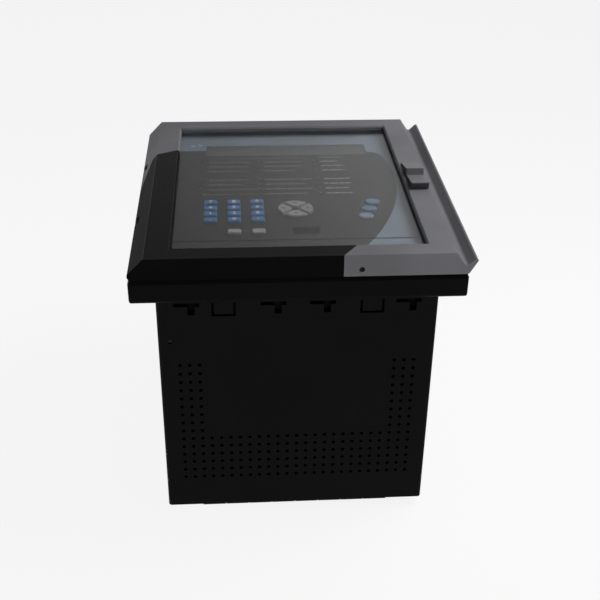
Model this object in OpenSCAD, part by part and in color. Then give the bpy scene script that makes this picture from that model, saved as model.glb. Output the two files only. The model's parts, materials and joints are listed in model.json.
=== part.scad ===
// Draw-out protection relay, lying on its back with its door up.
// +Z points out of the front, +Y to the top edge of the front and +X to its right edge.
// The origin is the middle of the plane that the rear terminal strips rest on.

/* [Collar] */
// Width of the collar that covers the panel cut-out
collar_w = 218.4; // [214:0.2:226]
// Height of the collar
collar_h = 238.5; // [234:0.5:248]
// Depth of the collar in front of the panel
collar_depth = 17.6; // [16.6:0.2:20]
// Left and right walls of the collar
collar_side_wall = 12.7; // [12.3:0.1:13.3]
// Top and bottom walls of the collar
collar_end_wall = 8; // [7.6:0.1:8.8]
// Thickness of the collar's rear flange
collar_flange = 4; // [3:0.1:5]
// Radius of the collar's rear edge
collar_round = 4; // [2:0.2:5]
// Depth of the collar's skirt inside the case
skirt_depth = 8; // [6:0.5:9]
// Wall of the skirt
skirt_wall = 1.4; // [1:0.1:1.8]
// Width of the soft seal on the collar
seal_w = 1.8; // [1.4:0.1:2.2]
// Depth of the seal's groove
seal_groove = 1.2; // [0.8:0.1:1.6]

/* [Case] */
// Step from the collar's side to the case
case_step_x = 15.7; // [14.7:0.1:17]
// Step from the collar's end to the case
case_step_y = 13; // [12:0.2:14]
// Depth of the case behind the panel
case_depth = 179; // [174:1:190]
// Thickness of the sheet steel
sheet = 1.5; // [1.2:0.1:1.8]
// Outside radius of the folds
fold_r = 2.5; // [2:0.1:3.5]
// Diameter of the vent holes
vent_d = 2.6; // [2:0.1:3.4]
// Distance of the outer vent columns from the case's sides
vent_margin = 13.7; // [11:0.1:18]
// Pitch of the vent rows along the depth
vent_pitch_z = 6.94; // [6:0.02:7.2]
// Vent holes across a full row
vent_columns = 25; // [21:2:25]
// Vent columns at each side above the full rows
vent_side_columns = 3; // [2:1:4]
// Rows of vents
vent_rows = 15; // [12:1:16]
// Rows that run the full width
vent_full_rows = 6; // [4:1:8]
// Distance from the case's rear edge to the first vent row
vent_start = 26.3; // [20:0.5:32]

/* [Door] */
// Thickness of the door
door_t = 15.4; // [15:0.1:16.4]
// Gap between the door and the collar
door_gap = 0.4; // [0.3:0.05:0.6]
// Slope of the left bevel, measured across the front
bevel_left = 11; // [10.2:0.1:12]
// Slope of the right bevel, measured across the front
bevel_right = 9.9; // [9.2:0.1:10.7]
// How far the pull lip stands out past the collar
lip_out = 4.5; // [3.6:0.1:5.4]
// Thickness of the pull lip
lip_t = 2.4; // [2:0.1:2.8]
// Left and right bars beside the window
bar_side = 16.6; // [16.2:0.1:17.4]
// Top and bottom bars beside the window
bar_end = 14.6; // [14:0.1:15.6]
// Depth of the window below the door's front
window_sink = 3.8; // [3.2:0.1:4.4]
// Thickness of the window pane
pane_t = 2.4; // [2:0.1:2.8]
// Overlap of the pane behind the bars
pane_lap = 3; // [2:0.1:3.4]
// Radius of the rounded hinge edge
nose_r = 3; // [2.8:0.05:3.2]
// Distance of the hinge axis from the collar's left side
hinge_inset = 3.2; // [3.1:0.05:3.6]
// Diameter of the hinge pins
hinge_pin_d = 2.4; // [2:0.1:2.8]
// Width of the collar's hinge ears
ear_w = 9; // [7:0.5:12]
// Distance of the hinge ears from the collar's ends
ear_inset = 73; // [66:1:80]
// Diameter of the sealing-wire hole in the door's lower end
wire_hole_d = 3.6; // [3:0.1:4.4]

/* [Thumb latch] */
// Width of the thumb slide
latch_w = 12.8; // [12:0.1:13.4]
// Length of the thumb slide
latch_l = 48.6; // [44:0.2:54]
// Height of the slide's crest above the door
latch_h = 6; // [5:0.1:7]
// Travel of the thumb slide
latch_travel = 5; // [3:0.5:6]
// Distance of the slide's near end below the door's middle
latch_drop = 22.6; // [18:0.2:26]

/* [Front] */
// Height of the faceplate above the collar's front edge
face_rise = 5.4; // [4.8:0.1:5.8]
// Thickness of the faceplate
face_t = 2; // [1.6:0.1:2.4]
// Gap between the draw-out unit's front and the collar
unit_gap = 2; // [1.8:0.1:2.4]
// Width of a number key
key_w = 9.2; // [8:0.1:10]
// Height of a number key on the face
key_h = 6.8; // [6:0.1:7.2]
// Height of the keys above the faceplate
key_rise = 1.6; // [1.5:0.1:2.2]
// Travel of a key
key_travel = 1.2; // [0.8:0.1:1.4]
// Pitch of the number keys across the face
key_pitch_x = 16.4; // [15:0.1:17]
// Pitch of the number keys up the face
key_pitch_y = 9.4; // [9:0.05:9.8]
// Width of the display window
display_w = 126.5; // [120:0.5:130]
// Height of the display window
display_h = 21; // [20:0.5:25]
// Width of the program port
port_w = 19; // [17:0.2:20]
// Height of the program port
port_h = 10.6; // [10:0.2:12]
// Diameter of the indicator lenses
lamp_d = 2.4; // [2:0.1:3]
// Height of the locking handle on the face
handle_h = 31; // [28:0.5:34]
// Thickness of the locking handle's front
handle_t = 3.6; // [3:0.1:4]

/* [Rear] */
// Columns of terminals
strip_count = 8; // [6:2:8]
// Distance of the outer strips from the case's side walls
strip_side = 23.2; // [22:0.1:27]
// Terminals in each column
strip_rows = 12; // [10:1:12]
// Distance of a strip's ends from the case's end walls
strip_end = 6.75; // [5:0.25:10]
// How far the strips stand out past the case's rear edge
strip_stand = 8; // [6:0.5:9]
// Depth of the rear panel inside the case's rear edge
panel_recess = 11; // [10:0.5:13]
// Depth of the channel in a terminal strip
channel_depth = 9; // [8:0.2:10]
// Width of a strip's side ribs
rib_w = 1.8; // [1.4:0.1:2.2]
// Diameter of the terminal screw heads
screw_head_d = 7.2; // [6:0.1:8]
// Diameter of the ground stud
stud_d = 5; // [4:0.1:6]

/* [Hidden] */
$fn = 48;
eps = 0.5;
fit = 0.1;
slide_fit = 0.25;

// Heights of the main planes above the rest plane
z_case = strip_stand;
z_panel = strip_stand + panel_recess;
z_seat = strip_stand + case_depth;
z_collar = z_seat + collar_depth;
z_door = z_collar + door_gap;
z_front = z_door + door_t;
z_face = z_collar + face_rise;
z_face_back = z_face - face_t;

// Case
case_w = collar_w - 2 * case_step_x;
case_h = collar_h - 2 * case_step_y;
case_in_w = case_w - 2 * sheet;
case_in_h = case_h - 2 * sheet;
fold_in = max(fold_r - sheet, 0.4);
vent_pitch_x = (case_w - 2 * vent_margin) / (vent_columns - 1);
tab_slot = 1.6;
tab_w = 16;
tab_l = 10.4;
tab_top = 6.8;
tee_inner = 16.3;
tee_margin = 20;
tee_x = [tee_inner, case_w / 2 - tee_margin];
tab_shift = 4.3;
tab_x = (tee_x[0] + tee_x[1]) / 2 + tab_shift;
tee_bar = [17, 2.8];
tee_stem = [4.6, 9.2];
tee_stem_shift = 3;
gauge_margin = 8.2;
gauge_drop = 36.6;
gauge_hole = [-case_w / 2 + gauge_margin, gauge_drop];
gauge_hole_d = 3.2;

// Collar
open_w = collar_w - 2 * collar_side_wall;
open_h = collar_h - 2 * collar_end_wall;
skirt_w = case_in_w - 2 * fit;
skirt_h = case_in_h - 2 * fit;
throat_w = skirt_w - 2 * skirt_wall;
throat_h = skirt_h - 2 * skirt_wall;
case_seat = 1;
collar_corner = 2.5;
collar_break = 1.6;
collar_break_drop = 3;
seal_gap = 0.6;
rivet_d = 3;
rivet_y = [-70, -24, 24, 70];
rivet_z = z_seat - skirt_depth / 2;

// Hinge axis and ears
hinge_x = -collar_w / 2 + hinge_inset;
hinge_z = z_door + nose_r;
ear_y = collar_h / 2 - ear_inset;
ear_r = nose_r - fit;
notch_room = 1.4;
notch_r = nose_r + notch_room;
notch_gap = 0.4;
pin_grip = 7;
hinge_pin_l = ear_w + 2 * pin_grip;

// Door profile, measured from the door's back
face_left = -collar_w / 2 + bevel_left;
face_right = collar_w / 2 - bevel_right;
groove_in = 2.9;
groove_rise = 5.2;
groove = [collar_w / 2 - groove_in, groove_rise];
lip_rise = 9.6;
lip_lean = 50;
lip_tip = [collar_w / 2 + lip_out - lip_t / 2, lip_rise];
lip_side = lip_t / 2 * [cos(lip_lean), -sin(lip_lean)];
root_in = 0.4;
root_rise = 0.7;
lip_root = [collar_w / 2 - root_in, root_rise];
foot_in = 1.2;
foot_right = collar_w / 2 - foot_in;
cavity_gap = 0.5;
door_cavity = door_t - window_sink - pane_t;
cavity_x = open_w / 2 - cavity_gap;
cavity_y = open_h / 2 - cavity_gap;
window_w = face_right - face_left - 2 * bar_side;
window_x = (face_right + face_left) / 2;
window_h = collar_h - 2 * bar_end;
window_break = 1.2;
pane_w = window_w + 2 * pane_lap;
pane_h = window_h + 2 * pane_lap;
wire_hole = [39.3, 4.8];

// Thumb latch
latch_edge = 0.9;
latch_x = face_right - latch_edge - latch_w / 2;
latch_gap = 0.2;
latch_far = latch_l - latch_drop;
tub_inset = 2.9;
tub_w = latch_w - 2 * tub_inset;
tub_l = 14;
tub_near = -0.5;
tub_far = tub_near + tub_l;
tub_drop = 0.6;
tub_floor = door_cavity - door_t - tub_drop - latch_gap;
bolt_t = 1.6;
bolt_lap = 2.2;
bolt_shy = 0.6;
bolt_end = 1.2;
cheek_t = 1.4;
scoop = 5.2;
scoop_far = tub_far - 1.6;
scoop_lean = 0.4;
scoop_floor = 2.6;
ramp_start = 2.5;
crest_run = 1.4;
far_h = 2.6;
ramp_h = 1.6;
edge_h = 0.8;
near_lean = 1.2;

// Draw-out unit
unit_w = open_w - 2 * unit_gap;
unit_h = open_h - 2 * unit_gap;
handle_y = -unit_h / 2 + handle_h;
handle_gap = 0.8;
handle_margin = 5;
handle_foot = -unit_h / 2 + handle_margin;
handle_top = handle_y - handle_gap;
handle_rise = 1.2;
handle_front = z_face + handle_rise;
handle_wall = 2.4;
handle_skirt = 10;
handle_return = 7;
handle_break = [3, 1.6];
handle_side_gap = 1;
plate_z = z_seat + collar_flange;
frame_z = plate_z + sheet;
ring_wall = 2.5;
ledge = 4.5;
board_t = 1.6;
board_drop = 5.4;
front_board_z = z_face_back - board_drop - board_t;
chassis_side = 0.6;
chassis_end = 3.75;
chassis_w = throat_w - 2 * chassis_side;
chassis_h = case_in_h - 2 * chassis_end;
cable_slot = [40, 14];
tray_window = [24, 110];
tray_window_z = 14;
lug_margin = 16;
lug_x = unit_w / 2 - lug_margin;
lug_size = [sheet, 13, 12];
pivot_d = 4;
pivot_l = 7;
pivot_drop = 9;
pivot_rise = 5;
pivot_y = handle_y - pivot_drop;
pivot_z = frame_z + pivot_rise;
arm_t = 3;
arm_x = lug_x + sheet / 2 + arm_t / 2 + fit;
arm_half = 4;
arm_drop = 3.4;
arm_inset = 2;
catch_w = 18;
catch_t = 1;
catch_gap = 0.8;
catch_foot = [3.6, 6];
catch_nose = 1.4;
catch_top = 0.6;

// Keys
key_fit = 0.3;
key_flange = 0.8;
key_flange_t = 1.4;
key_taper = 0.5;
key_corner = 1.2;
key_flange_z = z_face_back - key_fit - key_flange_t;
key_shoulder = z_face + key_rise - key_taper;
plunger_d = 4;
plunger_gap = 0.4;
pad_x = -40.8;
pad_rise = 57.25;
pad_y = handle_y + pad_rise;
arrow_x = 2.4;
arrow_rise = 45.25;
arrow_c = [arrow_x, handle_y + arrow_rise];
arrow_r = 12.4;
arrow_core = 3;
arrow_gap = 1.6;
arrow_plunger = 7.7;
oval_x = 57.7;
oval_rise = 54.55;
oval_top = [oval_x, handle_y + oval_rise];
oval_step = [-3.7, -11.2];
oval_size = [11.2, 8.6];
menu_rise = 11.05;
menu_y = handle_y + menu_rise;
menu_size = [9, 6];
menu_x = [pad_x, pad_x + key_pitch_x];

// Display, lamps and port
display_x = 1.7;
display_drop = 32.5;
display_c = [display_x, unit_h / 2 - display_drop];
lens_sink = 0.8;
lens_lap = 1.5;
module_h = 3.6;
module_inset = [2, 1];
lamp_x = [-65, -21, 22.5];
lamp_drop = 13;
lamp_clear = 15.3;
lamp_top = display_c[1] - display_h / 2 - lamp_drop;
lamp_low = pad_y + lamp_clear;
lamp_steps = [0, 1, 2, 3.9, 4.9, 5.9, 6.9];
lamp_rows = [for (step = lamp_steps) lamp_top + (lamp_low - lamp_top) * step / max(lamp_steps)];
lamp_rise = 0.4;
port_x = 7.9;
port_rise = 12.65;
port_c = [port_x, handle_y + port_rise];
port_wall = 1;
port_depth = 6;
insert_h = 1.6;
insert_w = [13.2, 14.8];
insert_t = 4;

// Rear panel, strips and screws
strip_pitch = (case_in_w - 2 * strip_side) / strip_count;
strip_gap = 0.4;
strip_w = strip_pitch - strip_gap;
strip_l = case_in_h - 2 * strip_end;
strip_cap = 4.4;
strip_row_pitch = (strip_l - 2 * strip_cap) / strip_rows;
strip_h = z_panel;
tongue_w = 6;
tongue_end = 10;
tongue = [tongue_w, strip_l - 2 * tongue_end];
barrier_h = 2.8;
barrier_w = 1.4;
screw_head_h = 2.6;
screw_d = 3.8;
screw_l = 6;
screw_slot = [1, 1.1];
stud_margin = 12;
stud_drop = 62;
stud_c = [case_in_w / 2 - stud_margin, -stud_drop];
stud_l = 12;
shank_d = stud_d + 0.6;
nut_d = stud_d + 4.6;
nut_h = 4;
stud_head = 3;

// Inner boards
board_margin = 39.9;
board_pitch = chassis_w / 2 - board_margin;
board_x = [-board_pitch, 0, board_pitch];
socket_h = 12;
socket_w = 10;
socket_end = 12;
socket_l = strip_l - 2 * socket_end;
plug_slot = 8;
plug_t = 3;
plug_end = 2;
plug_l = socket_l - 2 * plug_end;
plug_body = 8.5;
board_back = z_panel + sheet + socket_h + plug_body;
board_foot = -chassis_h / 2 + sheet;
board_clear = 8;
board_top = chassis_h / 2 - board_clear;
board_shy = 4;
chassis_back = board_back - board_shy;
rail_size = [8, 6.4];
rail_gap = 6;
rail_shy = 1;
rail_start = z_panel + sheet + rail_gap;
rail_end = z_seat - skirt_depth - rail_shy;
small_core = [24, 30, 26];
small_core_pitch = [46, 56];
small_core_z = 22;
large_core = [32, 44, 38];
large_core_rise = [29.5, 40];
large_core_at = [board_foot, board_back] + large_core_rise;
coil_inset = [4, 6];
coil_out = [3, 5];
relay_size = [24, 16, 29];
relay_pitch = [20, 36];
relay_drop = 83;
relay_rise = 14;
relay_at = [board_top - relay_drop, board_back + relay_rise];
can_d = 20;
can_l = 26;
can_pitch = 24;
can_at = [10, 50];
ribbon_w = 12;
ribbon_t = 1;
ribbon_x = -12;
ribbon_drop = 26;

// Colours
steel_black = [0.07, 0.075, 0.075];
mould_black = [0.05, 0.05, 0.055];
mould_grey = [0.46, 0.46, 0.475];
face_dark = [0.1, 0.1, 0.11];
key_blue = [0.25, 0.38, 0.6];
key_pale = [0.62, 0.63, 0.64];
key_violet = [0.55, 0.53, 0.68];
zinc = [0.72, 0.73, 0.74];
board_green = [0.12, 0.36, 0.2];
copper = [0.72, 0.43, 0.22];

number_keys = [for (i = [0:11]) str("number_key_", i + 1)];
menu_keys = ["menu_key_left", "menu_key_right"];
arrow_keys = ["arrow_key_right", "arrow_key_up", "arrow_key_left", "arrow_key_down"];
oval_keys = ["oval_key_upper", "oval_key_middle", "oval_key_lower"];

// Rectangle with rounded corners, about the origin
module round_rect(w, h, r) {
    square([w - 2 * r, h], center = true);
    square([w, h - 2 * r], center = true);
    for (x = [-1, 1], y = [-1, 1])
        translate([x * (w / 2 - r), y * (h / 2 - r)]) circle(r);
}

// Rectangular ring of the outside size w by h
module ring(w, h, wall) {
    difference() {
        square([w, h], center = true);
        square([w - 2 * wall, h - 2 * wall], center = true);
    }
}

// Slab of the size w by h by t, standing on z
module slab(w, h, t, z) {
    translate([-w / 2, -h / 2, z]) cube([w, h, t]);
}

// Bar along Y with the outline of its children in X and Z
module along_y(length) {
    rotate([90, 0, 0]) linear_extrude(length, center = true) children();
}

// Bar along X with the outline of its children in Y and Z
module along_x(length) {
    rotate([90, 0, 90]) linear_extrude(length, center = true) children();
}

// Cylinder along Y through the given place
module pin_y(x, y, z, d, length) {
    translate([x, y, z]) rotate([90, 0, 0]) cylinder(d = d, h = length, center = true);
}

// Positions of the vent holes: full rows at the rear, side columns above them
module at_vents() {
    last = (vent_columns - 1) / 2;
    for (row = [0:vent_rows - 1], column = [-last:last])
        if (row < vent_full_rows || abs(column) > last - vent_side_columns)
            translate([column * vent_pitch_x, z_case + vent_start + row * vent_pitch_z]) children();
}

// Outline of the case's inside, smaller by the clearance all round
module case_inside(clear) {
    round_rect(case_in_w - 2 * clear, case_in_h - 2 * clear, max(fold_in - clear, 0.2));
}

// Slots round a bend-out tab that stays joined at its front end
module tab_cut() {
    difference() {
        translate([-tab_w / 2, -tab_l]) square([tab_w, tab_l]);
        translate([-tab_w / 2 + tab_slot, -tab_l + tab_slot]) square([tab_w - 2 * tab_slot, tab_l]);
    }
}

// T-shaped slot for a panel clamp
module tee_cut() {
    translate([-tee_bar[0] / 2, -tee_bar[1]]) square(tee_bar);
    translate([tee_stem_shift - tee_stem[0] / 2, -tee_stem[1]]) square(tee_stem);
}

module case_shell() {
    color(steel_black)
    difference() {
        translate([0, 0, z_case]) linear_extrude(case_depth + case_seat) difference() {
            round_rect(case_w, case_h, fold_r);
            case_inside(0);
        }
        through_ends() at_vents() circle(d = vent_d, $fn = 24);
        through_ends() translate([0, z_seat - tab_top]) {
            for (side = [-1, 1]) {
                translate([side * tab_x, 0]) tab_cut();
                for (x = tee_x) translate([side * x, 0]) tee_cut();
            }
        }
        through_ends() translate([gauge_hole[0], z_seat - gauge_hole[1]]) circle(d = gauge_hole_d);
        rivet_holes();
    }
}

// Cut through the case's top and bottom walls, drawn in X and Z
module through_ends() {
    along_y(case_h + 2 * eps) children();
}

// Rivets through the case and the collar's skirt, or the holes for them
module rivet_row(d, length) {
    middle = (case_w - sheet - fit - skirt_wall) / 2;
    for (side = [-1, 1], y = rivet_y)
        translate([side * middle, y, rivet_z]) rotate([0, 90, 0])
            cylinder(d = d, h = length, center = true);
}

module rivet_holes() { rivet_row(rivet_d + 2 * fit, 4 * (sheet + skirt_wall)); }

module collar_rivets() {
    color(mould_black) rivet_row(rivet_d, sheet + fit + skirt_wall);
}

// Side outline of the collar with a round rear edge and a broken front edge
module collar_outline(w) {
    round_x = w / 2 - collar_round;
    polygon([
        [-round_x, 0], [round_x, 0], [w / 2, collar_round],
        [w / 2, collar_depth - collar_break_drop], [w / 2 - collar_break, collar_depth],
        [-w / 2 + collar_break, collar_depth], [-w / 2, collar_depth - collar_break_drop],
        [-w / 2, collar_round]]);
    for (side = [-1, 1]) translate([side * round_x, collar_round]) circle(collar_round);
}

module collar() {
    color(mould_black)
    difference() {
        union() {
            translate([0, 0, z_seat]) intersection() {
                linear_extrude(collar_depth) round_rect(collar_w, collar_h, collar_corner);
                along_y(collar_h) collar_outline(collar_w);
                along_x(collar_w) collar_outline(collar_h);
            }
            for (side = [-1, 1]) hinge_ear(side * ear_y);
        }
        translate([0, 0, z_seat - eps]) linear_extrude(case_seat + eps)
            round_rect(case_w + 2 * fit, case_h + 2 * fit, fold_r + fit);
        slab(throat_w, throat_h, collar_depth, z_seat - eps);
        slab(open_w, open_h, collar_depth, z_seat + collar_flange);
        translate([0, 0, z_collar - seal_groove]) linear_extrude(seal_groove + eps) seal_ring(0);
        for (side = [-1, 1]) pin_y(hinge_x, side * ear_y, hinge_z, hinge_pin_d + 2 * fit, ear_w + 2 * eps);
    }
    color(mould_black)
    difference() {
        translate([0, 0, z_seat - skirt_depth])
        linear_extrude(skirt_depth + collar_flange / 2) difference() {
            case_inside(fit);
            square([throat_w, throat_h], center = true);
        }
        rivet_holes();
    }
}

// Ear on the collar that holds a hinge pin
module hinge_ear(y) {
    pin_y(hinge_x, y, hinge_z, 2 * ear_r, ear_w);
    translate([hinge_x - ear_r, y - ear_w / 2, z_collar - collar_break_drop])
        cube([2 * ear_r, ear_w, hinge_z - z_collar + collar_break_drop]);
}

// Path of the seal on the collar's front edge, narrower by the clearance on both sides
module seal_ring(clear) {
    reach = seal_gap + seal_w - clear;
    ring(open_w + 2 * reach, open_h + 2 * reach, seal_w - 2 * clear);
}

module door_gasket() {
    color(mould_black)
    translate([0, 0, z_collar - seal_groove]) linear_extrude(seal_groove + door_gap - fit) seal_ring(fit);
}

// Point where the left bevel meets the rounded hinge edge
function bevel_end() =
    let (edge = [face_left, door_t], nose = [hinge_x, nose_r], v = nose - edge, reach = norm(v))
    let (turn = atan2(v[1], v[0]) - asin(nose_r / reach), run = sqrt(reach * reach - nose_r * nose_r))
    edge + run * [cos(turn), sin(turn)];

// Section of the door: hinge nose, bevels and the flared pull lip
module door_section() {
    polygon([
        [hinge_x, 0], [foot_right, 0], lip_root, lip_tip + lip_side,
        lip_tip - lip_side, groove, [face_right, door_t], [face_left, door_t],
        bevel_end(), [hinge_x, nose_r]]);
    translate([hinge_x, nose_r]) circle(nose_r);
    translate(lip_tip) circle(lip_t / 2);
}

// Opening of the window with its edges broken at the front
module window_cut() {
    translate([window_x, 0, 0]) slab(window_w, window_h, door_t + eps, z_door);
    intersection() {
        translate([window_x, 0, 0]) along_y(collar_h) break_outline(window_w);
        along_x(collar_w) break_outline(window_h);
    }
}

module break_outline(w) {
    wide = w / 2 + 2 * window_break;
    polygon([
        [-w / 2, z_front - window_break], [w / 2, z_front - window_break],
        [wide, z_front + window_break], [-wide, z_front + window_break]]);
}

module door_frame() {
    color(mould_grey)
    difference() {
        translate([0, 0, z_door]) along_y(collar_h) door_section();
        slab(2 * cavity_x, 2 * cavity_y, door_cavity + eps, z_door - eps);
        window_cut();
        translate([window_x, 0, z_door + door_cavity - eps]) linear_extrude(pane_t + eps)
            square([pane_w + 2 * fit, pane_h + 2 * fit], center = true);
        for (side = [-1, 1]) hinge_notch(side * ear_y);
        latch_slot();
        pin_y(wire_hole[0], -collar_h / 2, z_door + wire_hole[1], wire_hole_d, collar_end_wall * 3);
    }
}

// Room for an ear in the door's rounded edge, and the holes for its pin
module hinge_notch(y) {
    width = ear_w + 2 * notch_gap;
    pin_y(hinge_x, y, hinge_z, 2 * notch_r, width);
    translate([hinge_x - 2 * notch_r, y - width / 2, z_door - eps])
        cube([3 * notch_r, width, nose_r + eps]);
    pin_y(hinge_x, y, hinge_z, hinge_pin_d + 2 * fit, hinge_pin_l + 2 * fit);
}

// Slot in the door's right bar for the thumb latch
module latch_slot() {
    size = [tub_w, tub_l + latch_travel] + 2 * slide_fit * [1, 1];
    translate([latch_x - size[0] / 2, tub_near - slide_fit, z_door + door_cavity - eps])
        linear_extrude(door_t) square(size);
}

module window_pane() {
    color([0.85, 0.87, 0.88, 0.35])
    translate([window_x, 0, 0]) slab(pane_w, pane_h, pane_t, z_door + door_cavity);
}

module hinge_pins() {
    color(zinc)
    for (side = [-1, 1]) pin_y(hinge_x, side * ear_y, hinge_z, hinge_pin_d, hinge_pin_l);
}

// Side view of the slide: low far end, finger scoop and a ramp up to the crest
module latch_outline() {
    polygon([
        [-latch_drop + near_lean, 0], [tub_near, 0], [tub_near, tub_floor], [tub_far, tub_floor],
        [tub_far, 0], [latch_far, 0], [latch_far, edge_h], [scoop_far, far_h],
        [scoop_far - scoop_lean, far_h - scoop],
        [scoop_far - scoop_lean - scoop_floor, far_h - scoop], [tub_near + ramp_start, ramp_h],
        [-latch_drop + crest_run, latch_h], [-latch_drop, latch_h - edge_h]]);
}

// Cheeks beside the ramp, falling to the far end
module cheek_outline() {
    polygon([
        [-latch_drop + near_lean, 0], [latch_far, 0], [latch_far, edge_h], [scoop_far, far_h],
        [tub_near, latch_h - edge_h], [-latch_drop + crest_run, latch_h], [-latch_drop, latch_h - edge_h]]);
}

module latch_slider() {
    color(mould_grey)
    translate([latch_x, 0, z_front + latch_gap]) difference() {
        union() {
            along_x(latch_w) latch_outline();
            for (side = [-1, 1]) translate([side * (latch_w - cheek_t) / 2, 0, 0])
                along_x(cheek_t) cheek_outline();
        }
        for (side = [-1, 1])
            translate([side * (tub_w / 2 + latch_w / 2), 0, -door_t]) slab(latch_w, 2 * latch_l, door_t, 0);
    }
}

module latch_bolt() {
    left = latch_x - tub_w / 2 - bolt_lap;
    color(mould_black)
    translate([left, tub_near - bolt_end, z_door + door_cavity - tub_drop - bolt_t])
        cube([cavity_x - bolt_shy - left, tub_l + 2 * bolt_end, bolt_t]);
}

module chassis() {
    depth = plate_z - chassis_back;
    color(zinc)
    difference() {
        union() {
            slab(unit_w, unit_h, sheet, plate_z);
            for (side = [-1, 1]) translate([side * (chassis_w - sheet) / 2, 0, 0])
                slab(sheet, chassis_h, depth, chassis_back);
            translate([-chassis_w / 2, -chassis_h / 2, chassis_back]) cube([chassis_w, sheet, depth]);
            for (side = [-1, 1])
                translate([side * lug_x, pivot_y, 0]) slab(lug_size[0], lug_size[1], lug_size[2], plate_z);
        }
        slab(cable_slot[0], cable_slot[1], 3 * sheet, plate_z - sheet);
        for (x = board_x) translate([x + board_pitch / 2, 0, 0]) tray_opening();
        handle_axis(pivot_d + 2 * fit, 2 * pivot_l);
    }
}

// Air opening in the chassis floor between two boards
module tray_opening() {
    translate([-tray_window[0] / 2, -chassis_h / 2 - eps, board_back + tray_window_z])
        cube([tray_window[0], sheet + 2 * eps, tray_window[1]]);
}

// Round bars on the locking handle's axis, one through each lug and its arm
module handle_axis(d, length) {
    for (side = [-1, 1])
        translate([side * (lug_x + arm_x) / 2, pivot_y, pivot_z]) rotate([0, 90, 0])
            cylinder(d = d, h = length, center = true);
}

module handle_pins() {
    color(zinc) handle_axis(pivot_d, pivot_l);
}

// Channel-shaped handle along the bottom of the front, with an arm at each end
module locking_handle() {
    back = handle_front - handle_t;
    color(mould_black)
    difference() {
        union() {
            along_x(unit_w - 2 * handle_side_gap) polygon([
                [handle_foot, handle_front - handle_skirt],
                [handle_foot + handle_wall, handle_front - handle_skirt], [handle_foot + handle_wall, back],
                [handle_top - handle_wall, back], [handle_top - handle_wall, handle_front - handle_return],
                [handle_top, handle_front - handle_return], [handle_top, handle_front - handle_break[1]],
                [handle_top - handle_break[1], handle_front], [handle_foot + handle_break[0], handle_front],
                [handle_foot, handle_front - handle_break[0]]]);
            for (side = [-1, 1]) translate([side * arm_x, 0, 0])
                along_x(arm_t) polygon([
                    [handle_foot + arm_inset, back], [handle_top - arm_inset, back],
                    [pivot_y + arm_half, pivot_z - arm_drop], [pivot_y - arm_half, pivot_z - arm_drop]]);
        }
        handle_axis(pivot_d + 2 * fit, 2 * pivot_l);
    }
}

// Spring clip that holds the handle shut
module handle_catch() {
    face = handle_foot - catch_gap;
    foot = frame_z + catch_t;
    tip = handle_front - catch_top;
    color(zinc)
    along_x(catch_w) polygon([
        [face - catch_foot[0], frame_z], [face + catch_foot[1], frame_z], [face + catch_foot[1], foot],
        [face, foot], [face, handle_front - handle_break[0]],
        [face + catch_nose, handle_front - handle_break[0] + catch_gap], [face + catch_gap / 2, tip],
        [face - catch_t, tip], [face - catch_t, foot], [face - catch_foot[0], foot]]);
}

// Area of the draw-out front above the locking handle
module front_area(inset) {
    translate([0, (unit_h / 2 + handle_y) / 2])
        square([unit_w - 2 * inset, unit_h / 2 - handle_y - 2 * inset], center = true);
}

module front_frame() {
    color(mould_black)
    difference() {
        translate([0, 0, frame_z]) linear_extrude(z_face_back - frame_z) front_area(0);
        translate([0, 0, frame_z - eps]) linear_extrude(z_face_back) front_area(ring_wall + ledge);
        translate([0, 0, front_board_z]) linear_extrude(z_face_back) front_area(ring_wall);
    }
}

module front_board() {
    color(board_green)
    translate([0, 0, front_board_z]) linear_extrude(board_t) front_area(ring_wall + slide_fit);
}

module faceplate() {
    color(face_dark)
    translate([0, 0, z_face_back]) linear_extrude(face_t) difference() {
        front_area(0);
        translate(display_c) square([display_w, display_h], center = true);
        for (i = [0:11]) translate(number_at(i)) key_hole(key_w, key_h);
        for (x = menu_x) translate([x, menu_y]) key_hole(menu_size[0], menu_size[1]);
        translate(arrow_c) circle(arrow_r + key_fit);
        for (i = [0:2]) translate(oval_at(i)) oval(key_fit);
        translate(port_c) square([port_w + 2 * fit, port_h + 2 * fit], center = true);
        at_lamps() circle(d = lamp_d + 2 * fit, $fn = 24);
    }
}

// Opening for a rectangular key
module key_hole(w, h) {
    round_rect(w + 2 * key_fit, h + 2 * key_fit, key_corner);
}

function number_at(i) = [pad_x + (i % 3 - 1) * key_pitch_x, pad_y - floor(i / 3) * key_pitch_y];
function oval_at(i) = oval_top + i * oval_step;

// Places of the indicator lenses
module at_lamps() {
    for (x = lamp_x, y = lamp_rows) translate([x, y]) children();
}

// Stadium outline of the right-hand keys
module oval(grow) {
    r = oval_size[1] / 2 + grow;
    run = oval_size[0] - oval_size[1];
    for (side = [-1, 1]) translate([side * run / 2, 0]) circle(r);
    square([run, 2 * r], center = true);
}

module display_lens() {
    base = front_board_z + board_t + module_h;
    color([0.12, 0.13, 0.14])
    translate([display_c[0], display_c[1], 0]) {
        slab(display_w + 2 * lens_lap, display_h + 2 * lens_lap, z_face_back - base - fit, base);
        slab(display_w - 2 * fit, display_h - 2 * fit, z_face - lens_sink - base - fit, base + fit);
    }
}

module display_module() {
    size = [display_w, display_h] - 2 * module_inset;
    color(board_green)
    translate([display_c[0], display_c[1], 0])
        slab(size[0], size[1], module_h, front_board_z + board_t);
}

module indicator_lenses() {
    color([0.75, 0.2, 0.18])
    translate([0, 0, front_board_z + board_t]) linear_extrude(z_face + lamp_rise - front_board_z - board_t)
        at_lamps() circle(d = lamp_d, $fn = 24);
}

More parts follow.
